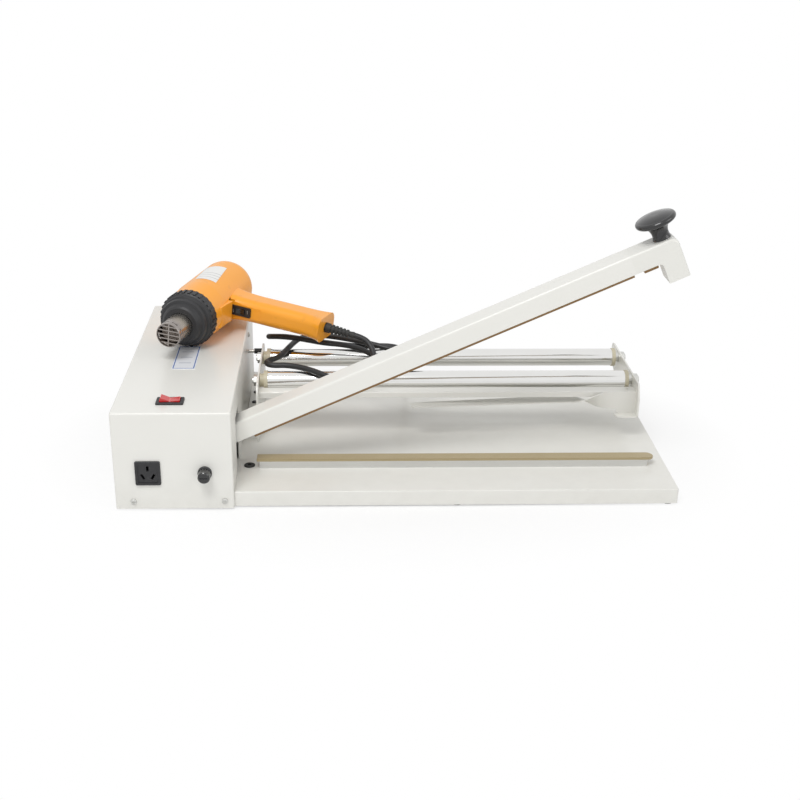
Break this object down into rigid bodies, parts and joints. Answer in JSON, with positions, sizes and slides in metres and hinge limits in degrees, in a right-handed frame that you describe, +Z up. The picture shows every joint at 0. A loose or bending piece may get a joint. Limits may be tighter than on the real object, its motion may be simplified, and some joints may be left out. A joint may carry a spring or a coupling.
{
  "type": "hand impulse sealer with shrink gun",
  "caption": "Hand impulse bar sealer with a sprung sealing arm, film roller stand, film separator, electric housing and a shrink gun stored on top.",
  "frame": {"origin": "middle of the footprint of the whole machine, on the plane that its feet stand on", "axes": "+X along the seal bar away from the housing, +Y from the user towards the film rollers, +Z up"},
  "size_m": [0.6274, 0.4284, 0.3222],
  "materials": {
    "white_paint": "gloss powder coat",
    "white_moulding": "smooth",
    "chrome_tube": "polished",
    "hub_nylon": "moulded",
    "zinc_steel": "zinc plated",
    "bar_aluminium": "extruded",
    "tan_strip": "coated glass cloth",
    "brown_silicone": "silicone",
    "brass": "turned",
    "black_rubber": "moulded",
    "black_plastic": "fine texture",
    "red_plastic": "translucent red",
    "label_film": "printed film",
    "gun_yellow": "moulded",
    "green_board": "solder mask",
    "coil_tape": "taped winding",
    "motor_steel": "plated",
    "heater_ceramic": "fired",
    "cord_rubber": "PVC sheath"
  },
  "bodies": {
    "machine": {"base_plate": "white_paint", "housing_cover": "white_paint", "roller_plate_left": "white_paint", "roller_plate_right": "white_paint", "cross_member": "white_paint", "film_separator": "white_paint", "housing_screws": "zinc_steel", "frame_screws": "zinc_steel", "roller_axles": "zinc_steel", "axle_nuts": "zinc_steel", "hinge_bracket": "zinc_steel", "hinge_pin": "zinc_steel", "spacer_bolt": "zinc_steel", "transformer_core": "zinc_steel", "return_spring": "zinc_steel", "seal_bar": "bar_aluminium", "seal_cover": "tan_strip", "seal_insulator": "tan_strip", "wire_terminals": "brass", "heating_wire": "brass", "base_feet": "black_rubber", "wire_grommet": "black_rubber", "spacer_sleeve": "black_rubber", "switch_bezel": "black_plastic", "outlet_socket": "black_plastic", "fuse_holder": "black_plastic", "power_inlet": "black_plastic", "microswitch": "black_plastic", "label_plate": "label_film", "control_board": "green_board", "transformer_coil": "coil_tape"},
    "power_rocker": {"power_rocker": "red_plastic"},
    "fuse_cap": {"fuse_cap": "black_plastic", "fuse_link": "zinc_steel"},
    "front_roller": {"front_roller_tube": "chrome_tube", "front_roller_hubs": "hub_nylon"},
    "rear_roller": {"rear_roller_tube": "chrome_tube", "rear_roller_hubs": "hub_nylon"},
    "arm": {"arm_channel": "white_paint", "arm_bush": "brass", "pressure_bar": "bar_aluminium", "silicone_strip": "brown_silicone", "arm_end_piece": "white_moulding", "arm_end_pad": "brown_silicone", "arm_screws": "zinc_steel", "knob": "black_plastic"},
    "gun": {"gun_shell_upper": "gun_yellow", "gun_shell_lower": "gun_yellow", "gun_collar": "black_plastic", "gun_nozzle": "zinc_steel", "gun_heater": "heater_ceramic", "gun_motor": "motor_steel", "gun_switch_bezel": "black_plastic", "gun_strain_relief": "black_rubber", "gun_cord": "cord_rubber", "gun_cord_hank": "cord_rubber", "gun_plug": "cord_rubber"},
    "gun_rocker": {"gun_rocker": "black_plastic"},
    "gun_fan": {"gun_fan": "black_plastic"}
  },
  "joints": [
    {"name": "arm_hinge", "type": "hinge", "parent": "machine", "child": "arm", "pos_m": [-0.23075, -0.1023, 0.048], "axis": [0, 1, 0], "range_deg": [0, 24.3], "stiffness_Nm_per_rad": 3, "springref_deg": -63.03, "deforming": ["return_spring"]},
    {"name": "front_roller_spin", "type": "hinge", "parent": "machine", "child": "front_roller", "pos_m": [-0.18375, 0.0035, 0.0828], "axis": [1, 0, 0], "continuous": true},
    {"name": "rear_roller_spin", "type": "hinge", "parent": "machine", "child": "rear_roller", "pos_m": [-0.18375, 0.0786, 0.0828], "axis": [1, 0, 0], "continuous": true},
    {"name": "power_rocker_tilt", "type": "hinge", "parent": "machine", "child": "power_rocker", "pos_m": [-0.25195, -0.1418, 0.118], "axis": [0, -1, 0], "range_deg": [0, 16]},
    {"name": "fuse_cap_twist", "type": "hinge", "parent": "machine", "child": "fuse_cap", "pos_m": [-0.21425, -0.1766, 0.046], "axis": [0, -1, 0], "range_deg": [0, 60]},
    {"name": "gun_lift", "type": "slide", "parent": "machine", "child": "gun", "axis": [0, 0, 1], "range_m": [0, 0.25]},
    {"name": "gun_rocker_tilt", "type": "hinge", "parent": "gun", "child": "gun_rocker", "pos_m": [-0.18958, 0.0727, 0.1475], "axis": [0.0921, -0.0264, 0.9954], "range_deg": [-9, 9]},
    {"name": "gun_fan_spin", "type": "hinge", "parent": "gun", "child": "gun_fan", "pos_m": [-0.21824, 0.14238, 0.152], "axis": [0.2756, 0.9613, 0], "continuous": true}
  ]
}
